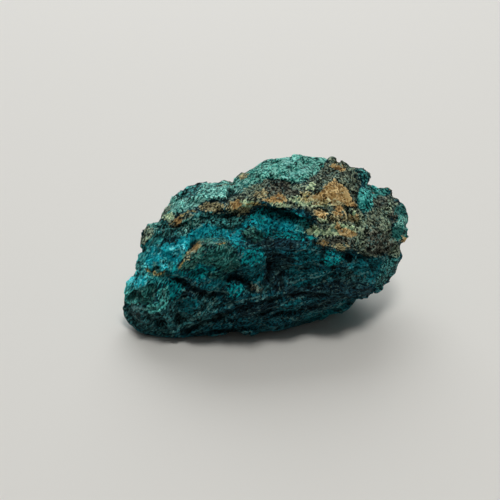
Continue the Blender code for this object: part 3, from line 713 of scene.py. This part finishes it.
def relief_tree(material):
    """Moves the skin in and out along its normals: beds worn back, grains, roughness and pits."""
    tree = bpy.data.node_groups.new("stone_relief", "GeometryNodeTree")
    Varying.tree = tree
    tree.interface.new_socket("Geometry", in_out="INPUT", socket_type="NodeSocketGeometry")
    tree.interface.new_socket("Geometry", in_out="OUTPUT", socket_type="NodeSocketGeometry")
    for name in RELIEF:
        tree.interface.new_socket(name, in_out="INPUT", socket_type="NodeSocketFloat")
    source = tree.nodes.new("NodeGroupInput")
    size = {name: Varying(source.outputs[name]) for name in RELIEF}
    weight = {
        name: Varying.node("GeometryNodeInputNamedAttribute", {"data_type": "FLOAT"}, {"Name": name})
        for name in (*SKINS, "crust", "olive", "shade", "swollen", "sunk", "calm")
    }

    place = Varying.node("GeometryNodeInputPosition") * 1000.0
    normal = Varying.node("GeometryNodeInputNormal")
    height = bed_height(place, size["Dip"], size["Arch"], size["Arch at"], size["Wander"])
    bed = worn_bed(height / size["Bed"], size["Bed hollow"], size["Bed lip"])
    fine_height = height / size["Fine bed"] + cloud(place, 4) * size["Fine wander"]
    fine = worn_bed(fine_height, size["Fine hollow"], size["Fine lip"])
    steep = 1.0 - axes(normal)[2] ** 2.0
    standing = steep * (1.0 - size["Flat share"]) + size["Flat share"]
    broken = cloud(place + ELSEWHERE, size["Broken every"], 2).eased(0.35, 0.62)
    beds = (bed * size["Bed depth"] + fine * size["Fine depth"]) * standing * broken

    smooth = most([weight[name] for name in SKINS])
    grain = cells(place + cloud(place, 1.5) * size["Grain wander"], size["Grain"])
    grains = (0.5 - grain) * size["Grain height"] * (1.0 - size["Olive grain"] * weight["olive"])
    grains = grains * (1.0 - size["Skin grain"] * smooth)
    rough = (cloud(place, size["Rough"], 5, 0.6) - 0.5) * 2.0 * size["Rough height"]
    pit = cells(place + PIT_PLACE, size["Pit"]).eased(size["Pit floor"], size["Pit rim"], 1.0, 0.0)
    pits = pit * size["Pit depth"] * cloud(place, size["Pitted every"]).eased(0.5, 0.62)
    jolt = cloud(place, 2.5, 3) * size["Chip wander"]
    broken_off = chips(place + jolt, size["Chip"], size["Chip lean"])
    jolt = cloud(place, 1.0, 2) * size["Small wander"]
    broken_off += chips(place + jolt, size["Small chip"], size["Small lean"])
    broken_off = broken_off * (1.0 - size["Olive chip"] * weight["olive"])
    broken_off = broken_off * (1.0 - size["Skin chip"] * smooth)
    lift = smooth.math("MAXIMUM", weight["crust"]).eased(0.0, 1.0) * size["Crust lift"]

    # Calm places keep less than half of this. Seams and swellings are added whole, and all of
    # it fades out near the seat.
    relief = beds + grains + rough + broken_off + lift - pits
    relief = relief * (1.0 - size["Calming"] * weight["calm"]) - weight["shade"] * size["Seam depth"]
    relief += (weight["swollen"] - weight["sunk"]) * size["Swelling"]
    relief = relief * (axes(place)[2] / size["Seat fade"]).eased(0.0, 1.0)

    moved = Varying.node("GeometryNodeSetPosition", None, {
        "Geometry": Varying(source.outputs["Geometry"]), "Offset": normal * (relief * MM)})
    real = Varying.node("GeometryNodeRealizeInstances", None, {"Geometry": moved})
    dressed = Varying.node("GeometryNodeSetMaterial", None, {"Geometry": real, "Material": material})
    out = tree.nodes.new("NodeGroupOutput")
    tree.links.new(dressed.socket, out.inputs["Geometry"])
    return tree


def tint(red, green, blue):
    """A colour from its eye values of 0 to 255."""
    eye = (red / 255, green / 255, blue / 255)
    return (*(((v + 0.055) / 1.055) ** 2.4 if v > 0.04 else v / 12.92 for v in eye), 1.0)


def blend(first, second, share):
    """The first colour with a share of the second in it."""
    return Varying.node("ShaderNodeMix", {"data_type": "RGBA"}, {0: share, 6: first, 7: second}, 2)


def vector(x, y, z):
    return Varying.node("ShaderNodeCombineXYZ", None, {0: x, 1: y, 2: z})


def channel(colour, index):
    """The red, green or blue of a colour."""
    return Varying.node("ShaderNodeSeparateColor", None, {0: colour}, index)


def uneven(layers, shares):
    """The swings of the layers about a half, each with its share, added up."""
    return sum(share * (layers[name] - 0.5) for name, share in shares.items())


# Each finish: its dark, middle and light grains, and its shares of black and of pale grains.
# The one listed later lies on top.
FINISHES = {
    "deep": ((3, 26, 33), (8, 57, 67), (27, 105, 119), 0.17, 0.06),
    # Dark navy, partly painted shade.
    "navy": ((4, 14, 22), (11, 39, 49), (38, 81, 93), 0.14, 0.06),
    "slate": ((4, 31, 34), (16, 67, 73), (61, 128, 132), 0.22, 0.14),
    "teal": ((0, 49, 57), (2, 79, 88), (22, 116, 126), 0.08, 0.06),
    "azure": ((9, 64, 75), (12, 113, 123), (16, 165, 168), 0.10, 0.04),
    "cyan": ((0, 114, 131), (0, 155, 173), (42, 188, 199), 0.07, 0.04),
    "aqua": ((17, 115, 122), (38, 162, 168), (95, 215, 214), 0.14, 0.13),
    # Painted light: a brighter copy of the blue for spots in shade.
    "sky": ((10, 150, 168), (40, 205, 220), (120, 235, 240), 0.07, 0.06),
    "speckled": ((6, 44, 48), (31, 113, 115), (95, 185, 181), 0.44, 0.14),
    "jade": ((14, 82, 75), (62, 153, 141), (138, 213, 197), 0.14, 0.09),
    "lagoon": ((9, 79, 79), (46, 152, 148), (113, 223, 214), 0.14, 0.07),
    "turquoise": ((20, 94, 91), (78, 166, 156), (158, 225, 212), 0.17, 0.09),
    # A painted highlight, laid on as a paler turquoise.
    "bright": ((66, 148, 142), (100, 187, 176), (153, 223, 211), 0.10, 0.10),
    "crust": ((21, 28, 26), (76, 92, 79), (154, 167, 141), 0.37, 0.27),
    # A paler crust, partly painted light.
    "lichen": ((41, 55, 45), (103, 124, 103), (173, 191, 160), 0.22, 0.22),
    "umber": ((16, 21, 20), (64, 67, 59), (129, 133, 116), 0.36, 0.22),
    "olive": ((8, 48, 47), (22, 89, 85), (60, 129, 122), 0.07, 0.09),
    "moss": ((13, 46, 45), (41, 97, 89), (80, 148, 134), 0.14, 0.10),
    "pale": ((93, 120, 91), (163, 190, 147), (222, 241, 197), 0.10, 0.14),
    "tan": ((127, 98, 57), (193, 159, 101), (222, 198, 144), 0.05, 0.05),
    "ochre": ((70, 66, 38), (142, 126, 76), (190, 174, 114), 0.16, 0.05),
    "rust": ((74, 71, 48), (144, 133, 95), (190, 184, 141), 0.14, 0.05),
    # Painted light: a lit copy of the tan.
    "sand": ((154, 140, 88), (230, 220, 156), (250, 246, 196), 0.06, 0.08),
    "orange": ((103, 79, 49), (163, 127, 79), (189, 165, 112), 0.06, 0.03),
}


STOPS = (0.15, 0.5, 0.85)  # where the dark, the middle and the light grains lie
FRAY, NEAT_FRAY = 1.5, 0.8
NEAT = ("pale", "tan", "sand", "orange")  # finishes whose edges fray less
FIBROUS = ("turquoise", "jade", "bright")  # skins that are drawn out in fibres

# The sizes of what speckles the stone, in millimetres, how far each is squeezed along the beds,
# and how much each moves the colours, the edges of the finishes and the bumps.
SPECK, MOTTLE, STREAK, DRIFT, GRAIN, BUMP, CLUMP = 0.31, 0.65, 0.6, 5.0, 0.37, 0.7, 2.2
SPECK_SQUEEZE, STREAK_SQUEEZE, LINE_SQUEEZE = 0.75, 0.22, 0.1
COLOUR_SHARES = {"speck": 1.1, "mottle": 0.75, "streak": 1.4, "drift": 0.5}
FRAY_SHARES = {"speck": 0.55, "mottle": 1.2, "streak": 1.0, "drift": 0.6}
BUMP_SHARES = {"speck": 0.12, "mottle": 0.3, "streak": 0.25}
ROUGHNESS, SPECULAR = 0.62, 0.06  # a dull break that reflects next to nothing
GRAIN_EDGE = (-0.03, 0.06)  # black and pale grains fade over this much of their share

LINE, LINE_SHARPNESS = 1.3, 9.0  # millimetres from one bedding line to the next, and their steepness
PALE_AND_LIT_FADE, LEDGE_SHADOW_FADE, LINE_GAP = (0.1, 0.55), (0.1, 0.7), 0.9
FIBRE_RUN, FIBRE_RISE = 0.8, 0.6  # the fibres' direction on the ground: a unit vector
FIBRE_SQUEEZE, FIBRE_ACROSS, FIBRE_CONTRAST = 0.09, 0.6, 1.3

# What lies over a finish: a tint and how far it covers, how much darker black grains, the painted
# shadow lines under the ledges, the painted shade in hollows and in the shade strokes are, and how much
# paler ridges are made, part wear and part painted highlight.
PALE_GRAIN, PALE_COVER = tint(132, 178, 168), 0.36
GRIT, GRIT_COVER = tint(96, 150, 152), 0.4
PALE_AND_LIT_TINT, PALE_AND_LIT_COVER = tint(92, 150, 152), 0.28
BLACK_DEPTH, LEDGE_SHADOW_DEPTH, HOLLOW_SHADE_DEPTH, SHADE_STROKE_DEPTH, WEAR_AND_HIGHLIGHT = 0.85, 0.45, 0.5, 0.55, 0.5


def stone_material():
    """Chrysocolla in all its finishes, each speckled with its own dark and light grains."""
    material = bpy.data.materials.new("chrysocolla")
    material.use_nodes = True
    Varying.tree = material.node_tree
    shader = material.node_tree.nodes["Principled BSDF"]
    place = Varying.node("ShaderNodeTexCoord", None, None, "Object") * 1000.0
    x, y, up = axes(place)
    height = bed_height(place, RELIEF["Dip"], RELIEF["Arch"], RELIEF["Arch at"], RELIEF["Wander"])

    def weight(name):
        return Varying.node("ShaderNodeAttribute", {"attribute_name": name}, None, "Fac")

    def squeezed(share):
        """The place among the beds, squeezed so that what is drawn there runs along them."""
        return vector(x * share, y * share, height)

    leaning = squeezed(SPECK_SQUEEZE)
    layers = {
        "speck": channel(cells(leaning + cloud(place, 0.6) * 0.3, SPECK, "Color"), 0),
        "mottle": cloud(place, MOTTLE, 3, 0.75),
        "streak": cloud(squeezed(STREAK_SQUEEZE), STREAK, 3, 0.6),
        "drift": cloud(place, DRIFT, 3, 0.55),
    }

    # Thin pale edges follow the beds, part pale line and part painted highlight, each with a painted
    # shadow line under it, where no skin covers them.
    edge = (cloud(squeezed(LINE_SQUEEZE), LINE, 2) - 0.5) * LINE_SHARPNESS
    bare = 1.0 - weight("coat")
    pale_and_lit_edge = edge.math("ABSOLUTE").eased(*PALE_AND_LIT_FADE, 1.0, 0.0) * bare
    painted_ledge_shadow = (edge + LINE_GAP).math("ABSOLUTE").eased(*LEDGE_SHADOW_FADE, 1.0, 0.0) * bare

    # The turquoise skins are drawn out in fibres that run to the right and the back.
    along, across = FIBRE_RUN * x + FIBRE_RISE * y, FIBRE_RUN * y - FIBRE_RISE * x
    fibres = vector(along * FIBRE_SQUEEZE, across * FIBRE_ACROSS, up * FIBRE_ACROSS)
    fibrous = most([weight(name) for name in FIBROUS])
    strong = (cloud(fibres, STREAK, 3, 0.65) - 0.5) * FIBRE_CONTRAST + 0.5
    layers["streak"] += (strong - layers["streak"]) * fibrous
    grain = 0.5 + uneven(layers, COLOUR_SHARES)
    frayed = uneven(layers, FRAY_SHARES)

    colour, black, pale = None, None, None
    for finish, (dark, middle, light, own_black, own_pale) in FINISHES.items():
        stops = [(stop, tint(*grain_tint)) for stop, grain_tint in zip(STOPS, (dark, middle, light))]
        own = Varying.node("ShaderNodeValToRGB", {"stops": stops}, {0: grain}, 0)
        if colour is None:
            colour, black, pale = own, own_black, own_pale
            continue
        share = weight(finish)
        fray = NEAT_FRAY if finish in NEAT else FRAY
        share = (share + frayed * fray * share.eased(0.0, 0.25)).eased(0.42, 0.58)
        colour = blend(colour, own, share)
        black = black + (own_black - black) * share
        pale = pale + (own_pale - pale) * share

    # Black and pale grains, scattered in clouds and thicker where the finish has more of them.
    clouds = (cloud(place, CLUMP, 2) - 0.5) * 0.9 + (layers["streak"] - 0.5) * 0.7
    pick = cells(leaning + cloud(place, 0.8) * 0.5, GRAIN, "Color")
    grit = weight("grit") + frayed * 0.5
    pale = pale + grit.eased(0.3, 0.8) * 0.75
    blacks = (channel(pick, 1) + clouds - (1.0 - black)).eased(*GRAIN_EDGE)
    pales = (channel(pick, 2) - clouds * 0.6 - (1.0 - pale)).eased(*GRAIN_EDGE)
    colour = blend(colour, PALE_GRAIN, pales * PALE_COVER)
    colour = blend(colour, GRIT, grit.eased(0.4, 0.9) * GRIT_COVER)
    colour = colour * (1.0 - BLACK_DEPTH * blacks)
    # Pale edges, part pale line and part painted highlight, and the painted shadow line under each.
    colour = blend(colour, PALE_AND_LIT_TINT, pale_and_lit_edge * layers["mottle"].eased(0.4, 0.6) * PALE_AND_LIT_COVER)
    colour = colour * (1.0 - LEDGE_SHADOW_DEPTH * painted_ledge_shadow)

    # Painted shade darkens the hollows and the shade strokes, and ridges are made paler, part wear and
    # part painted highlight.
    low = weight("hollow")
    # The shade strokes are painted shade: undercuts, cracks, pits, under the brow and along the front
    # edge where the stone meets the table.
    shade = (weight("shade") + frayed * 1.3).eased(0.4, 1.15)
    # Ridges are painted paler: part wear, part painted highlight.
    worn = (0.0 - low).eased(0.03, 0.3)
    colour = colour * (1.0 - HOLLOW_SHADE_DEPTH * low.eased(0.0, 0.3)) * (1.0 - SHADE_STROKE_DEPTH * shade)
    colour = colour * (1.0 + WEAR_AND_HIGHLIGHT * worn)

    rough = ROUGHNESS + (layers["mottle"] - 0.5) * 0.5 - pales * 0.2 + weight("crust") * 0.15
    bump = uneven(layers, BUMP_SHARES) - cells(place, BUMP) * 0.12 - blacks * 0.08
    bumped = Varying.node("ShaderNodeBump", None, {"Strength": 0.8, "Distance": MM, "Height": bump})
    for socket, value in (("Base Color", colour), ("Roughness", rough), ("Normal", bumped)):
        material.node_tree.links.new(value.socket, shader.inputs[socket])
    shader.inputs["Specular IOR Level"].default_value = SPECULAR
    return material


# Painted shade in hollows: how deep each point sits, measured over these rounds of smoothing.
HOLLOW_SHADE_ROUNDS = {16: 0.6, 80: 0.35}  # rounds of smoothing for small and broad hollows, and their shares


def sunken(mesh, rounds):
    """How far each point lies under the mean of its surroundings, in millimetres."""
    points, normals = read(mesh, "co"), read(mesh, "normal")
    ends = np.empty(len(mesh.edges) * 2, int)
    mesh.edges.foreach_get("vertices", ends)
    a, b = ends.reshape(-1, 2).T
    count = np.bincount(ends, minlength=len(points))[:, None]
    mean = points.copy()
    for _ in range(rounds):
        total = np.zeros_like(mean)
        for axis in range(3):
            total[:, axis] = (np.bincount(a, mean[b, axis], len(points))
                              + np.bincount(b, mean[a, axis], len(points)))
        mean = 0.5 * (mean + total / count)
    return np.sum((mean - points) * normals, axis=1) / MM


material = stone_material()
rough_stone = bpy.data.objects.new("rough_stone", skin)
bpy.context.scene.collection.objects.link(rough_stone)
relief = rough_stone.modifiers.new("relief", "NODES")
relief.node_group = relief_tree(material)
for item in relief.node_group.interface.items_tree:
    if item.in_out == "INPUT" and item.name in RELIEF:
        relief[item.identifier] = RELIEF[item.name]
graph = bpy.context.evaluated_depsgraph_get()
stone = bpy.data.objects.new(
    "chrysocolla_specimen", bpy.data.meshes.new_from_object(rough_stone.evaluated_get(graph)))
bpy.context.scene.collection.objects.link(stone)
bpy.data.objects.remove(rough_stone)
# How far each point lies sunk, from which the material paints shade into hollows and a highlight onto
# ridges.
put(stone.data, "hollow", sum(share * sunken(stone.data, rounds) for rounds, share in HOLLOW_SHADE_ROUNDS.items()))
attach(stone, "root")
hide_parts("chrysocolla_stone")


# The table: a plain matt sheet, off-white and wide enough to fill the view. The stone rests on
# it, and it only sets the stage.
FLOOR_SIDE = 6.0
FLOOR_TINT, FLOOR_ROUGHNESS = tint(227, 226, 222), 0.8

half = FLOOR_SIDE / 2
corners = [(-half, -half, 0), (half, -half, 0), (half, half, 0), (-half, half, 0)]
floor_mesh = bpy.data.meshes.new("floor")
floor_mesh.from_pydata(corners, [], [(0, 1, 2, 3)])
floor = bpy.data.objects.new("floor", floor_mesh)
bpy.context.scene.collection.objects.link(floor)
paint = bpy.data.materials.new("pale_table")
paint.use_nodes = True
surface = paint.node_tree.nodes["Principled BSDF"].inputs
surface["Base Color"].default_value = FLOOR_TINT
surface["Roughness"].default_value = FLOOR_ROUGHNESS
floor_mesh.materials.append(paint)


# The light: a small warm key box almost overhead, whose crisp shadow goes nearly black under the
# stone's front edge, a broad box over the back of the table and one low behind the stone, whose
# shadows are wide and soft, and a dim pale room.
SOFT_BOXES = {
    "key": {"place": (120, -210, 1200), "side": 320, "power": 5.3, "colour": (1, 0.98, 0.94)},
    "overhead": {"place": (0, 450, 1200), "side": 2000, "power": 4.3, "colour": (1, 1, 1)},
    "behind": {"place": (-100, 1150, 900), "side": 1200, "power": 12.0, "colour": (0.98, 0.99, 1)},
}
ROOM, ROOM_COLOUR = 0.09, (1, 0.99, 0.97, 1)

for name, box in SOFT_BOXES.items():
    box_light = bpy.data.lights.new(name, "AREA")
    box_light.size, box_light.energy = box["side"] * MM, box["power"]
    box_light.color = box["colour"]
    soft_box = bpy.data.objects.new(name, box_light)
    soft_box.location = Vector(box["place"]) * MM
    soft_box.rotation_euler = (-soft_box.location).to_track_quat("-Z", "Y").to_euler()
    bpy.context.scene.collection.objects.link(soft_box)
room = bpy.data.worlds.new("room")
room.use_nodes = True
background = room.node_tree.nodes["Background"].inputs
background["Color"].default_value, background["Strength"].default_value = ROOM_COLOUR, ROOM
bpy.context.scene.world = room
bpy.context.scene.view_settings.view_transform = "Standard"
